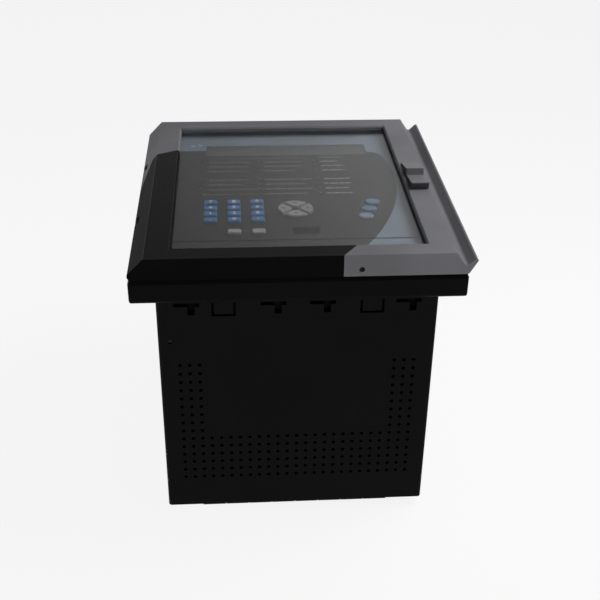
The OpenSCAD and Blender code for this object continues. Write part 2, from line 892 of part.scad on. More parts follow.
// Recessed socket with a tapered nine-hole insert
module program_port() {
    base = front_board_z + board_t;
    color(mould_black)
    translate([port_c[0], port_c[1], 0]) {
        difference() {
            slab(port_w, port_h, z_face - base, base);
            slab(port_w - 2 * port_wall, port_h - 2 * port_wall, port_depth + eps, z_face - port_depth);
        }
        translate([0, 0, z_face - port_depth - eps]) linear_extrude(insert_h + eps)
            polygon([for (corner = [[-1, 0], [1, 0], [1, 1], [-1, 1]])
                [corner[0] * insert_w[corner[1]] / 2, (corner[1] - 0.5) * insert_t]]);
    }
}

// Round plunger under a key, above its switch on the front board
module plunger() {
    foot = front_board_z + board_t + key_travel + plunger_gap;
    translate([0, 0, foot]) cylinder(d = plunger_d, h = key_flange_z - foot + eps);
}

// Flange under the faceplate, body and narrower top of a key, from its three outlines
module key_steps() {
    translate([0, 0, key_flange_z]) linear_extrude(key_flange_t) children(0);
    translate([0, 0, key_flange_z]) linear_extrude(key_shoulder - key_flange_z) children(1);
    translate([0, 0, key_shoulder - fit]) linear_extrude(key_taper + fit) children(2);
}

// Rectangular key of the size w by h
module box_key(w, h) {
    plunger();
    key_steps() {
        square([w + 2 * key_flange, h + 2 * key_flange], center = true);
        round_rect(w, h, key_corner);
        round_rect(w - 2 * key_taper, h - 2 * key_taper, key_corner);
    }
}

module number_key(i) {
    color(key_blue) translate(number_at(i)) box_key(key_w, key_h);
}

module menu_key(i) {
    color(key_pale) translate([menu_x[i], menu_y]) box_key(menu_size[0], menu_size[1]);
}

// Wedge between the two diagonals of the arrow pad
module quarter() {
    polygon(2 * arrow_r * [[0, 0], [1, -1], [1, 1]]);
}

// Quarter of the round arrow pad, cut apart along its diagonals
module arrow_outline(inset) {
    difference() {
        intersection() {
            circle(arrow_r - inset);
            translate([(arrow_gap / 2 + inset) * sqrt(2), 0]) quarter();
        }
        circle(arrow_core + inset);
    }
}

// Flange of an arrow key, a quarter of a wider disc
module arrow_flange() {
    intersection() {
        circle(arrow_r + key_flange);
        translate([arrow_gap / 2, 0]) quarter();
    }
}

module arrow_key(i) {
    color(key_pale)
    translate([arrow_c[0], arrow_c[1], 0]) rotate([0, 0, 90 * i]) {
        translate([arrow_plunger, 0, 0]) plunger();
        key_steps() {
            arrow_flange();
            arrow_outline(0);
            arrow_outline(key_taper);
        }
    }
}

module oval_key(i) {
    color(i == 2 ? key_violet : key_blue)
    translate(oval_at(i)) {
        plunger();
        key_steps() {
            oval(key_flange);
            oval(0);
            oval(-key_taper);
        }
    }
}

module rear_panel() {
    color(steel_black)
    difference() {
        union() {
            translate([0, 0, z_panel]) linear_extrude(sheet) case_inside(fit);
            translate([0, 0, z_case]) linear_extrude(panel_recess + sheet) difference() {
                case_inside(fit);
                case_inside(fit + sheet);
            }
        }
        at_strips() slab(tongue[0] + 2 * fit, tongue[1] + 2 * fit, 3 * sheet, z_panel - sheet);
        translate([stud_c[0], stud_c[1], z_panel - sheet]) cylinder(d = shank_d + 2 * fit, h = 3 * sheet);
    }
}

// Places of the terminal strips across the rear
module at_strips() {
    for (i = [0:strip_count - 1]) translate([(i - (strip_count - 1) / 2) * strip_pitch, 0, 0]) children();
}

// Places of the screws along a strip
module at_rows() {
    for (i = [0:strip_rows - 1]) translate([0, (i - (strip_rows - 1) / 2) * strip_row_pitch, 0]) children();
}

// Terminal strips: a channel with closed ends and low barriers between the screws
module terminal_blocks() {
    color(mould_black)
    at_strips() difference() {
        union() {
            slab(strip_w, strip_l, strip_h, 0);
            slab(tongue[0], tongue[1], sheet + eps, strip_h - eps);
        }
        difference() {
            slab(strip_w - 2 * rib_w, strip_l - 2 * rib_w, channel_depth + eps, -eps);
            for (i = [0:strip_rows])
                translate([0, (i - strip_rows / 2) * strip_row_pitch, 0])
                    slab(strip_w, barrier_w, barrier_h, channel_depth - barrier_h);
        }
        at_rows() translate([0, 0, channel_depth - eps])
            cylinder(d = screw_d + 2 * fit, h = screw_l + eps + fit);
    }
}

module terminal_screws() {
    color(zinc)
    at_strips() at_rows() difference() {
        union() {
            translate([0, 0, channel_depth - screw_head_h]) cylinder(d = screw_head_d, h = screw_head_h);
            translate([0, 0, channel_depth - eps]) cylinder(d = screw_d, h = screw_l + eps);
        }
        slab(2 * screw_head_d, screw_slot[0], screw_slot[1] + eps, channel_depth - screw_head_h - eps);
    }
}

module ground_stud() {
    color(copper)
    translate([stud_c[0], stud_c[1], 0]) {
        translate([0, 0, z_panel - stud_l]) cylinder(d = stud_d, h = stud_l);
        translate([0, 0, z_panel - nut_h]) cylinder(d = shank_d, h = nut_h + sheet + eps);
        translate([0, 0, z_panel + sheet]) cylinder(d = nut_d, h = stud_head, $fn = 6);
    }
}

module ground_nut() {
    color(zinc)
    translate([stud_c[0], stud_c[1], z_panel - nut_h]) difference() {
        cylinder(d = nut_d, h = nut_h, $fn = 6);
        translate([0, 0, -eps]) cylinder(d = shank_d + 2 * fit, h = nut_h + 2 * eps);
    }
}

// Four rails that take the edges of the chassis sides
module guide_rails() {
    x = case_in_w / 2 - rail_size[0];
    groove_x = chassis_w / 2 - sheet - slide_fit;
    y = case_in_h / 2 - rail_size[1];
    color(mould_black)
    for (a = [0, 1], b = [0, 1]) mirror([a, 0, 0]) mirror([0, b, 0])
        difference() {
            translate([0, 0, rail_start]) linear_extrude(rail_end - rail_start) intersection() {
                translate([x, y]) square(rail_size);
                case_inside(0);
            }
            translate([groove_x, y - eps, rail_start - eps])
                cube([sheet + 2 * slide_fit, chassis_h / 2 - y + slide_fit + eps, rail_end]);
            translate([x - eps, y - eps, rail_start - eps])
                cube([groove_x - x + 2 * eps, chassis_h / 2 - y + slide_fit + eps, rail_end]);
        }
}

// Long sockets on the rear panel, one behind each board
module case_sockets() {
    color(mould_black)
    for (x = board_x) translate([x, 0, z_panel + sheet]) difference() {
        slab(socket_w, socket_l, socket_h, 0);
        slab(plug_t + 2 * slide_fit, plug_l + 2 * slide_fit, plug_slot + eps, socket_h - plug_slot);
    }
}

module unit_plugs() {
    z = z_panel + sheet + socket_h;
    color(mould_grey)
    for (x = board_x) translate([x, 0, 0]) {
        slab(plug_t, plug_l, plug_slot, z - plug_slot + slide_fit);
        slab(socket_w, socket_l, board_back - z - slide_fit, z + slide_fit);
    }
}

// Circuit board that stands across the unit at x
module board(x) {
    color(board_green)
    translate([x - board_t / 2, board_foot, board_back])
        cube([board_t, board_top - board_foot, plate_z - board_back]);
}

module processor_board() { board(board_x[0]); }

module input_board() { board(board_x[1]); }

module power_board() { board(board_x[2]); }

// Transformer core with its winding, narrower by the inset and longer by out at both ends
module wound_core(size, inset, out) {
    cube(size);
    translate([inset, -out, inset]) cube(size + [-2 * inset, 2 * out, -2 * inset]);
}

// Small current and voltage transformers on the input board
module input_transformers() {
    color(copper)
    for (row = [-1, 0, 1], column = [0, 1])
        translate([
            board_x[1] - board_t / 2 - small_core[0], row * small_core_pitch[0] - small_core[1] / 2,
            board_back + small_core_z + column * small_core_pitch[1]])
            wound_core(small_core, coil_inset[0], coil_out[0]);
}

module power_transformer() {
    color(copper)
    translate([board_x[2] - board_t / 2 - large_core[0], large_core_at[0], large_core_at[1]])
        wound_core(large_core, coil_inset[1], coil_out[1]);
}

module output_relays() {
    color(mould_black)
    for (row = [0:3], column = [0, 1])
        translate([
            board_x[2] + board_t / 2, relay_at[0] + row * relay_pitch[0],
            relay_at[1] + column * relay_pitch[1]])
            cube(relay_size);
}

module filter_capacitors() {
    color(mould_black)
    for (row = [0:2])
        translate([board_x[2] - board_t / 2 - can_l, can_at[0] + row * can_pitch, board_back + can_at[1]])
            rotate([0, 90, 0]) cylinder(d = can_d, h = can_l);
}

// Flat cable from the front board through the chassis to the processor board
module ribbon_cable() {
    foot = plate_z - ribbon_drop;
    start = board_x[0] + board_t / 2;
    color(mould_grey)
    along_y(ribbon_w) {
        translate([ribbon_x, foot]) square([ribbon_t, front_board_z - foot]);
        translate([start, foot]) square([ribbon_x - start + ribbon_t, ribbon_t]);
    }
}

case_shell();
collar();
collar_rivets();
door_gasket();
rear_panel();
terminal_blocks();
terminal_screws();
ground_stud();
ground_nut();
guide_rails();
case_sockets();
door_frame();
window_pane();
hinge_pins();
latch_slider();
latch_bolt();
chassis();
front_frame();
faceplate();
display_lens();
display_module();
indicator_lenses();
front_board();
program_port();
locking_handle();
handle_pins();
handle_catch();
processor_board();
input_board();
power_board();
input_transformers();
power_transformer();
output_relays();
filter_capacitors();
unit_plugs();
ribbon_cable();
for (i = [0:11]) number_key(i);
for (i = [0:1]) menu_key(i);
for (i = [0:3]) arrow_key(i);
for (i = [0:2]) oval_key(i);
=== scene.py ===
"""Looks of the draw-out protection relay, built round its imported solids.

Lengths are metres, unless a comment says millimetres, in the part's own frame: +Z points out of
the front, +Y to the top edge of the front and +X to its right edge. The relay lies on its back,
with its door up.
"""
import json
import math

import bmesh
import bpy
from mathutils import Matrix, Vector

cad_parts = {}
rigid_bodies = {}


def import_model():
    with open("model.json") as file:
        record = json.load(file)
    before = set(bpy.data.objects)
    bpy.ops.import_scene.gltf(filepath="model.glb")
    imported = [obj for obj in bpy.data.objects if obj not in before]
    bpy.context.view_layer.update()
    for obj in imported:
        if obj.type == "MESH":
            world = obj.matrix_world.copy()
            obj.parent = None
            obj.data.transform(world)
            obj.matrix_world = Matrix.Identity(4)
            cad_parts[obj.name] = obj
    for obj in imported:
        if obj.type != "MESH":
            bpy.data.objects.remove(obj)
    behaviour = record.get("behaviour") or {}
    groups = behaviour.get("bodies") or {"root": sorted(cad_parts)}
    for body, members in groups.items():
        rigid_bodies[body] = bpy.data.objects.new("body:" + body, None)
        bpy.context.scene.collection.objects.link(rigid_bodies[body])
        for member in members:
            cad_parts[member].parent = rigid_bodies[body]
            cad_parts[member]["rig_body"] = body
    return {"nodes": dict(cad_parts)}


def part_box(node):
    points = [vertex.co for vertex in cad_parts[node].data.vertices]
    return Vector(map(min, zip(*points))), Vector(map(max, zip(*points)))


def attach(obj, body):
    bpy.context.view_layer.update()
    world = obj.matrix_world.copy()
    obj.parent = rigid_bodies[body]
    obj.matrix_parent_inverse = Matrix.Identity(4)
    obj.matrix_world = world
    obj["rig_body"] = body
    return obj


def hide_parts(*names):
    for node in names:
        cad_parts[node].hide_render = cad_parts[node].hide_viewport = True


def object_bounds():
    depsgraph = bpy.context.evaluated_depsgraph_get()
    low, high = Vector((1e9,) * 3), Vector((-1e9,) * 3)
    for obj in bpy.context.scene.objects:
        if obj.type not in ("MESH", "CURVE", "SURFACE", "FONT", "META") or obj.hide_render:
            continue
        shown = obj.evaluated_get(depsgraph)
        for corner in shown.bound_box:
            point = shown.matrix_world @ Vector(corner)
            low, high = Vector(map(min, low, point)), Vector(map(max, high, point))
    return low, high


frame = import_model()
cad_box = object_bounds()

MM = 0.001

# Camera, found from the door's and the case's edges in the photograph
CAMERA_AT = Vector((-0.04161, -0.67992, 0.51956))
CAMERA_YAW = math.radians(-4.25)
CAMERA_PITCH = math.radians(30.49)
CAMERA_ROLL = math.radians(0.85)
CAMERA_LENS = 61.0
CAMERA_NEAREST = 0.01

# Studio: a soft lamp at the right, low fills in front and at the left, a sky that is brighter
# at the right and behind, and a pale floor with a wall far off
LAMP_AT = Vector((0.42, 0.0, 0.72))
LAMP_AIM = Vector((0.0, 0.02, 0.2))
LAMP_SIZE = (0.45, 0.45)
LAMP_WATTS = 3.8
FILL_SIZE = (0.6, 0.14)
FILL_HEIGHT = 0.11
FRONT_FILL_Y = -0.95
FRONT_FILL_WATTS = 2.3
LEFT_FILL_X = -0.9
LEFT_FILL_WATTS = 3.2
SKY_DIM = 0.19
SKY_BRIGHT = 0.57
SKY_LEFT = -0.1
SKY_RIGHT = 0.3
SKY_FRONT = 0.2
SKY_BACK = 0.75
SKY_FRONT_SHARE = 0.12
FLOOR_HALF = 12.0
WALL_HIGH = 4.0
FLOOR_TONE = 0.9
FLOOR_ROUGH = 0.9
FLOOR_SHINE = 0.1
FLOOR_GLOW = 0.88
FLOOR_CLOUD = 0.5
FLOOR_DRIFT = 0.01

# Surfaces: the part of a noise's range that is spread out, and the common drift, specks and grain
NOISE_LOW = 0.3
NOISE_HIGH = 0.7
DRIFT_SIZE = 45 * MM
DRIFT_SWING = 0.1
SPECK_SIZE = 1.5 * MM
GLOSS_SWING = 0.07
GRAIN_SIZE = 0.45 * MM
GRAIN_DEPTH = 0.02 * MM

# Chips in the paint along the case's folds
CHIP_WIDTH = 0.9 * MM
CHIP_REACH = 60 * MM
CHIP_SIZE = 4 * MM
CHIP_LEVEL = 0.62

# Black part of the door. On the left bar its border starts at a point and falls to the left, and
# far more steeply past the bevel. On the lower bar its border leans to the right
LEFT_START_X = -81.5 * MM
LEFT_START_Y = 59 * MM
LEFT_FALL = 0.53
LEFT_LIMIT_X = -60 * MM
BEVEL_RUN = 20.4 * MM
BEVEL_FALL = 5.6
LOW_START_X = 27.2 * MM
LOW_START_Y = -120 * MM
LOW_LEAN = 0.703
LOW_LIMIT_Y = -90 * MM

# Inside of the door, coloured black round the chassis and up to the pane as painted shade of the
# cavity under the pane, and the shine of its sides and of a thin skin at its front
INNER_GAP = 1.2 * MM
SEAT_GAP = 0.2 * MM
FRONT_SKIN = 0.3 * MM
SIDE_SHINE = 0.015
FRONT_SHINE = 0.1

# Black field of the front: one arch at the right, one at the top, and the blend between them
RIGHT_ARCH_X = 80.3 * MM
RIGHT_ARCH_Y = 23 * MM
RIGHT_ARCH_BEND = 2.67
TOP_ARCH_X = -12 * MM
TOP_ARCH_Y = 77.2 * MM
TOP_ARCH_BEND = 1.0
ARCH_BLEND = 12 * MM

# Circuit boards: half the pitch and width of the tracks, and the levels of a noise over which tracks
# and pads show
TRACK_HALF_PITCH = 1.6 * MM
TRACK_HALF_WIDTH = 0.5 * MM
TRACK_LEVEL = 0.5
PAD_LEVEL = 0.7

# Thickness of half a core plate
HALF_PLATE = 0.5 * MM

# Edge rounding: welding, the angles of flat, sharp and shaded edges, and for each piece the radius
# and the shortest edge that is rounded
WELD = 1e-6
FLAT_ANGLE = math.radians(0.5)
SHARP_ANGLE = math.radians(28)
SHADE_ANGLE = math.radians(38)
DOOR_ROUND = 0.5 * MM
DOOR_SHORTEST = 1.2 * MM
STRIP_ROUND = 0.4 * MM
STRIP_SHORTEST = 1.2 * MM
LATCH_ROUND = 0.3 * MM
LATCH_SHORTEST = 0.5 * MM
KEY_ROUND = 0.45 * MM
KEY_SHORTEST = 0.3 * MM
COLLAR_ROUND = 0.7 * MM
COLLAR_SHORTEST = 2.5 * MM
CASE_ROUND = 0.3 * MM
CASE_SHORTEST = 30 * MM

# Finger groove of the door: its corner from the collar's side and from the door's underside, the
# search round it, and the reach and steps of its rounding
GROOVE_IN = 2.9 * MM
GROOVE_RISE = 5.2 * MM
GROOVE_NEAR = 0.2 * MM
GROOVE_RUN = 2.4 * MM
GROOVE_STEPS = 6

# Handle strip and oval keys, which depart a little from their solids
STRIP_SINK = 0.9 * MM
OVAL_SHARE = 0.93
OVAL_SHIFT = 0.4 * MM

# Thumb slide: heights over its base, the chamfer at its ends, the lean of its steep faces, the
# place of its stop, and its stem
LATCH_HIGH = 6 * MM
LATCH_CREST = 5.5 * MM
LATCH_FOOT = 1.4 * MM
LATCH_EDGE = 0.6 * MM
LATCH_LEAN = 1.6 * MM
LATCH_STOP = 0.3 * MM
LATCH_STEM_W = 7 * MM
LATCH_STEM_NEAR = -0.5 * MM
LATCH_STEM_FAR = 13.5 * MM

# Print on the front, in millimetres. The lamp rows are spaced by steps from the top. Each column has
# its left end, then the right end of the line in each lamp row
LAMP_STEPS = (0, 1, 2, 3.9, 4.9, 5.9, 6.9)
LAMP_R = 1.2
PRINT_COLUMNS = (
    (-59.0, (-27, -30, -30, -30, -34, -15.6, -42)),
    (-16.8, (12, 12, 5.5, 18, 12, 16.6, 13)),
    (27.0, (40, 44.5, 44, 46.3, 46.2, 45.5, 46)))
PRINT_HEIGHT = 1.9
RULE_HEIGHT = 0.7
HEAD_RISE = 7.6
WORD_LENGTHS = (4.6, 2.8, 6.2, 3.6, 5.2)
WORD_GAP = 0.9
MENU_RULE_DROP = 1.5
MENU_RULE_GAP = 0.8
CORNER_MARKS = ((-73.6, -70.2, 87.6), (-68, -65.2, 89.1))
CORNER_HEIGHT = 1.6
RED_ENDS = (-63.4, -60.4)
YELLOW_ENDS = (-38, -15.6)

# Marks on the keys and contacts of the port
INK_THICK = 0.06 * MM
STROKE_GROWTH = 0.1 * MM
KEY_SIGNS = "789456123.0-"
SIGN_SIZE = 5.2 * MM
ARROW_TIP = 3.2 * MM
ARROW_BASE = 0.4 * MM
ARROW_HALF = 2 * MM
CONTACT_PITCH = 2.7 * MM
CONTACT_ROW = 0.9 * MM
CONTACT_R = 0.5 * MM
CONTACT_THICK = 0.15 * MM
CONTACT_DEPTH = 4.4 * MM
CIRCLE_POINTS = 12


def tone(red, green, blue):
    """Colour from eight-bit screen values, as linear red, green, blue and alpha."""
    parts = [value / 255 for value in (red, green, blue)]
    return (*(v / 12.92 if v <= 0.04045 else ((v + 0.055) / 1.055) ** 2.4 for v in parts), 1.0)


class Graph:
    """Node tree of one material, with its shader and the place on the piece in metres."""

    def __init__(self, name):
        self.material = bpy.data.materials.new(name)
        self.material.use_nodes = True
        self.nodes = self.material.node_tree.nodes
        self.links = self.material.node_tree.links
        self.shader = self.nodes["Principled BSDF"]
        self.place = self.nodes.new("ShaderNodeTexCoord").outputs["Object"]
        apart = self.nodes.new("ShaderNodeSeparateXYZ")
        self.links.new(self.place, apart.inputs[0])
        self.x, self.y, self.z = apart.outputs

    def feed(self, socket, value):
        """Links a socket to another one, or sets it to a plain value."""
        if isinstance(value, bpy.types.NodeSocket):
            self.links.new(value, socket)
        else:
            socket.default_value = value

    def put(self, **values):
        """Sets the shader's sockets, with _ for a space in their names."""
        for name, value in values.items():
            self.feed(self.shader.inputs[name.replace("_", " ")], value)

    def calc(self, operation, *values):
        made = self.nodes.new("ShaderNodeMath")
        made.operation = operation
        for socket, value in zip(made.inputs, values):
            self.feed(socket, value)
        return made.outputs[0]

    def below(self, value, limit):
        return self.calc("LESS_THAN", value, limit)

    def above(self, value, limit):
        return self.calc("GREATER_THAN", value, limit)

    def both(self, first, second):
        return self.calc("MINIMUM", first, second)

    def either(self, first, second):
        return self.calc("MAXIMUM", first, second)

    def arch(self, value, bend, top):
        """Height of a parabola that bends down from its top."""
        square = self.calc("MULTIPLY", value, value)
        return self.calc("ADD", self.calc("MULTIPLY", square, -bend), top)

    def noise(self, size, detail, stretch=(1, 1, 1)):
        """Noise with spots about size across, drawn out along an axis by a small stretch."""
        scaled = self.nodes.new("ShaderNodeMapping")
        scaled.inputs["Scale"].default_value = stretch
        self.links.new(self.place, scaled.inputs["Vector"])
        made = self.nodes.new("ShaderNodeTexNoise")
        made.inputs["Scale"].default_value = 1 / size
        made.inputs["Detail"].default_value = detail
        self.links.new(scaled.outputs[0], made.inputs["Vector"])
        return made.outputs["Fac"]

    def span(self, value, low, high, to_low, to_high):
        made = self.nodes.new("ShaderNodeMapRange")
        for socket, number in zip(made.inputs, (value, low, high, to_low, to_high)):
            self.feed(socket, number)
        return made.outputs[0]

    def vary(self, noise, low, high):
        """Spreads the used part of a noise over a range of values."""
        return self.span(noise, NOISE_LOW, NOISE_HIGH, low, high)

    def choose(self, mask, off, on):
        """Value that goes from off to on as a mask goes from 0 to 1."""
        return self.span(mask, 0, 1, off, on)

    def mix(self, share, first, second):
        made = self.nodes.new("ShaderNodeMix")
        made.data_type = "RGBA"
        for index, value in ((0, share), (6, first), (7, second)):
            self.feed(made.inputs[index], value)
        return made.outputs[2]

    def brighter(self, colour, by):
        made = self.nodes.new("ShaderNodeHueSaturation")
        self.feed(made.inputs["Color"], colour)
        self.feed(made.inputs["Value"], by)
        return made.outputs[0]

    def bump(self, height, depth):
        made = self.nodes.new("ShaderNodeBump")
        made.inputs["Distance"].default_value = depth
        made.inputs["Strength"].default_value = 1.0
        self.links.new(height, made.inputs["Height"])
        return made.outputs[0]

    def lay_over(self, share, other):
        """Shows a share of another shader in place of the material's own."""
        joined = self.nodes.new("ShaderNodeMixShader")
        self.links.new(share, joined.inputs[0])
        self.links.new(self.shader.outputs[0], joined.inputs[1])
        self.links.new(other.outputs[0], joined.inputs[2])
        self.links.new(joined.outputs[0], self.nodes["Material Output"].inputs["Surface"])


# Materials

def grained(graph, colour, rough, shine, grain=GRAIN_SIZE, depth=GRAIN_DEPTH):
    """Moulded or coated surface: colour that drifts a little, uneven gloss and a fine grain."""
    drift = graph.noise(DRIFT_SIZE, detail=2)
    speck = graph.noise(SPECK_SIZE, detail=4)
    graph.put(
        Base_Color=graph.brighter(colour, graph.vary(drift, 1 - DRIFT_SWING, 1 + DRIFT_SWING)),
        Roughness=graph.vary(speck, rough - GLOSS_SWING, rough + GLOSS_SWING),
        Specular_IOR_Level=shine,
        Normal=graph.bump(graph.noise(grain, detail=2), depth))
    return graph.material


def mould(name, colour, rough, shine):
    return grained(Graph(name), colour, rough, shine)


def case_paint():
    """Black coating on folded steel, chipped to bare metal here and there along the folds."""
    graph = Graph("case_paint")
    low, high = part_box("case_shell")
    near_x = graph.above(graph.calc("ABSOLUTE", graph.x), high.x - CHIP_WIDTH)
    near_y = graph.above(graph.calc("ABSOLUTE", graph.y), high.y - CHIP_WIDTH)
    rear = graph.below(graph.z, low.z + CHIP_REACH)
    chips = graph.above(graph.noise(CHIP_SIZE, detail=5), CHIP_LEVEL)
    bare = graph.both(graph.both(near_x, near_y), graph.both(rear, chips))
    colour = graph.mix(bare, tone(11, 11, 11), tone(150, 150, 148))
    return grained(graph, colour, rough=0.55, shine=0.04, grain=0.8 * MM, depth=0.03 * MM)


def door_paint():
    """Moulded door in two tones, black at the left and below, with painted shade in the cavity under
    its pane, and matt sides.
    """
    graph = Graph("door_paint")
    pane_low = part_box("window_pane")[0].z
    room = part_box("chassis")[1] + Vector((INNER_GAP, INNER_GAP, 0))
    across = graph.calc("SUBTRACT", LEFT_START_X, graph.x)
    past_bevel = graph.either(graph.calc("SUBTRACT", across, BEVEL_RUN), 0.0)
    edge_y = graph.calc("MULTIPLY_ADD", across, -LEFT_FALL, LEFT_START_Y)
    edge_y = graph.calc("MULTIPLY_ADD", past_bevel, -BEVEL_FALL, edge_y)
    left = graph.both(graph.below(graph.x, LEFT_LIMIT_X), graph.below(graph.y, edge_y))
    up = graph.either(graph.calc("SUBTRACT", graph.y, LOW_START_Y), 0.0)
    edge_x = graph.calc("MULTIPLY_ADD", up, LOW_LEAN, LOW_START_X)
    lower = graph.both(graph.below(graph.y, LOW_LIMIT_Y), graph.below(graph.x, edge_x))
    # Painted shade: the cavity inside the door, below the pane, is coloured black to stand for the
    # shade there
    cavity_shade = graph.both(
        graph.below(graph.z, pane_low + SEAT_GAP),
        graph.both(
            graph.below(graph.calc("ABSOLUTE", graph.x), room.x),
            graph.below(graph.calc("ABSOLUTE", graph.y), room.y)))
    black = graph.either(graph.either(left, lower), cavity_shade)
    front = graph.above(graph.z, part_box("door_frame")[1].z - FRONT_SKIN)
    colour = graph.mix(black, tone(119, 119, 123), tone(11, 11, 11))
    shine = graph.choose(front, SIDE_SHINE, FRONT_SHINE)
    return grained(graph, colour, rough=0.48, shine=shine)


def face_print():
    """Printed film of the front: a black field with a swept edge on blue grey."""
    graph = Graph("face_print")
    from_side = graph.calc("SUBTRACT", graph.y, RIGHT_ARCH_Y)
    right = graph.calc("SUBTRACT", graph.arch(from_side, RIGHT_ARCH_BEND, RIGHT_ARCH_X), graph.x)
    from_top = graph.either(graph.calc("SUBTRACT", graph.x, TOP_ARCH_X), 0.0)
    top = graph.calc("SUBTRACT", graph.arch(from_top, TOP_ARCH_BEND, TOP_ARCH_Y), graph.y)
    black = graph.above(graph.calc("SMOOTH_MIN", right, top, ARCH_BLEND), 0.0)
    colour = graph.mix(black, tone(85, 96, 106), tone(20, 19, 18))
    return grained(graph, colour, rough=0.42, shine=0.15, grain=0.6 * MM, depth=0.012 * MM)


def clear_pane():
    """Clear window that lets lamps through."""
    graph = Graph("clear_pane")
    smear = graph.noise(60 * MM, detail=3)
    graph.put(
        Base_Color=(0.97, 0.98, 0.985, 1), Transmission_Weight=1.0, IOR=1.45,
        Roughness=graph.span(smear, low=0.35, high=0.65, to_low=0.015, to_high=0.045))
    path = graph.nodes.new("ShaderNodeLightPath").outputs
    graph.lay_over(path["Is Shadow Ray"], graph.nodes.new("ShaderNodeBsdfTransparent"))
    return graph.material


def smoked_lens():
    """Smoked gloss window, slightly uneven from moulding."""
    graph = Graph("smoked_lens")
    flow = graph.noise(25 * MM, detail=2, stretch=(0.2, 1, 1))
    graph.put(
        Base_Color=graph.brighter(tone(51, 50, 51), graph.vary(flow, 0.85, 1.12)),
        Roughness=graph.vary(flow, 0.14, 0.24), Specular_IOR_Level=0.2,
        Normal=graph.bump(flow, depth=0.05 * MM))
    return graph.material


def rubber(name, colour):
    """Soft key: satin, with a faint drift of colour and gloss rubbed up by fingers."""
    graph = Graph(name)
    worn = graph.noise(5 * MM, detail=3)
    graph.put(
        Base_Color=graph.brighter(colour, graph.vary(worn, 0.88, 1.1)),
        Roughness=graph.vary(worn, 0.5, 0.34), Specular_IOR_Level=0.35,
        Normal=graph.bump(graph.noise(0.5 * MM, detail=2), depth=0.02 * MM))
    return graph.material


def lamp_lens():
    """Clear red lens, dark while unlit, with uneven moulded facets."""
    graph = Graph("lamp_lens")
    facets = graph.noise(0.8 * MM, detail=1)
    graph.put(
        Base_Color=graph.mix(facets, tone(24, 12, 12), tone(46, 20, 18)),
        Roughness=graph.vary(facets, 0.12, 0.3), Specular_IOR_Level=0.5)
    return graph.material


def metal(name, colour, rough, stretch):
    """Plated metal with fine drawing lines along the axis that is stretched."""
    graph = Graph(name)
    lines = graph.noise(0.4 * MM, detail=4, stretch=stretch)
    cloud = graph.noise(12 * MM, detail=3)
    graph.put(
        Base_Color=graph.brighter(colour, graph.vary(cloud, 0.85, 1.08)), Metallic=1.0,
        Roughness=graph.vary(lines, rough - 0.08, rough + 0.1),
        Normal=graph.bump(lines, depth=0.008 * MM))
    return graph.material


def circuit_board():
    """Green solder mask with tracks and pale pads."""
    graph = Graph("circuit_board")
    along = graph.below(graph.calc("PINGPONG", graph.z, TRACK_HALF_PITCH), TRACK_HALF_WIDTH)
    broken = graph.above(graph.noise(14 * MM, detail=2), TRACK_LEVEL)
    pads = graph.above(graph.noise(2.2 * MM, detail=1), PAD_LEVEL)
    colour = graph.mix(graph.both(along, broken), tone(22, 84, 48), tone(44, 116, 66))
    colour = graph.mix(pads, colour, tone(176, 178, 172))
    graph.put(
        Base_Color=colour, Roughness=graph.choose(pads, 0.35, 0.25), Specular_IOR_Level=0.5,
        Normal=graph.bump(along, depth=0.03 * MM))
    return graph.material


def wound_core_paint():
    """Varnished stack of thin plates."""
    graph = Graph("wound_core")
    plates = graph.calc("PINGPONG", graph.x, HALF_PLATE)
    graph.put(
        Base_Color=graph.mix(graph.noise(9 * MM, detail=3), tone(96, 70, 50), tone(132, 102, 76)),
        Roughness=graph.vary(graph.noise(3 * MM, detail=3), 0.35, 0.5),
        Normal=graph.bump(plates, depth=0.2 * MM))
    return graph.material


def ink(name, colour):
    """Printed mark with slightly ragged cover."""
    graph = Graph(name)
    cover = graph.vary(graph.noise(0.7 * MM, detail=3), 0.8, 1.1)
    graph.put(
        Base_Color=graph.brighter(colour, cover),
        Roughness=graph.vary(graph.noise(2 * MM, detail=2), 0.4, 0.55), Specular_IOR_Level=0.3)
    return graph.material


BLACK = mould("mould_black", tone(15, 15, 16), rough=0.52, shine=0.07)
COLLAR = mould("collar_black", tone(10, 10, 11), rough=0.55, shine=0.03)
GREY = mould("mould_grey", tone(113, 113, 117), rough=0.48, shine=0.1)
PALE_GREY = mould("ribbon_grey", tone(150, 150, 152), rough=0.5, shine=0.3)
STRIP = mould("strip_black", tone(22, 22, 23), rough=0.42, shine=0.2)
SEAL = mould("seal_rubber", tone(12, 12, 12), rough=0.75, shine=0.05)
CASE = case_paint()
DOOR = door_paint()
FACE = face_print()
PANE = clear_pane()
LENS = smoked_lens()
LAMP = lamp_lens()
BLUE_KEY = rubber("key_blue", tone(33, 79, 119))
SKY_KEY = rubber("key_sky", tone(60, 84, 110))
VIOLET_KEY = rubber("key_violet", tone(94, 95, 116))
MENU_KEY = rubber("key_menu", tone(116, 115, 114))
ARROW_KEY = rubber("key_arrow", tone(99, 98, 96))
ZINC = metal("zinc_steel", tone(186, 188, 190), rough=0.34, stretch=(1, 0.05, 1))
# Painted shade: the chassis metal is near black, so the inside of the case seen through vents and
# slots looks shaded
SHADED_ZINC = metal("zinc_painted_shade", tone(14, 14, 15), rough=0.6, stretch=(1, 0.05, 1))
BRASS = metal("brass", tone(200, 160, 88), rough=0.3, stretch=(1, 1, 0.05))
BOARD = circuit_board()
CORE = wound_core_paint()
WHITE_INK = ink("white_ink", tone(172, 175, 174))
BRIGHT_INK = ink("bright_ink", tone(104, 102, 100))
LINE_INK = ink("line_ink", tone(78, 76, 74))
SKY_INK = ink("sky_ink", tone(150, 168, 178))
DARK_INK = ink("dark_ink", tone(62, 62, 64))
RED_INK = ink("red_ink", tone(92, 52, 46))
YELLOW_INK = ink("yellow_ink", tone(84, 74, 44))


# Tools for pieces

def add_object(name, data):
    """New object in the scene."""
    made = bpy.data.objects.new(name, data)
    bpy.context.scene.collection.objects.link(made)
    return made


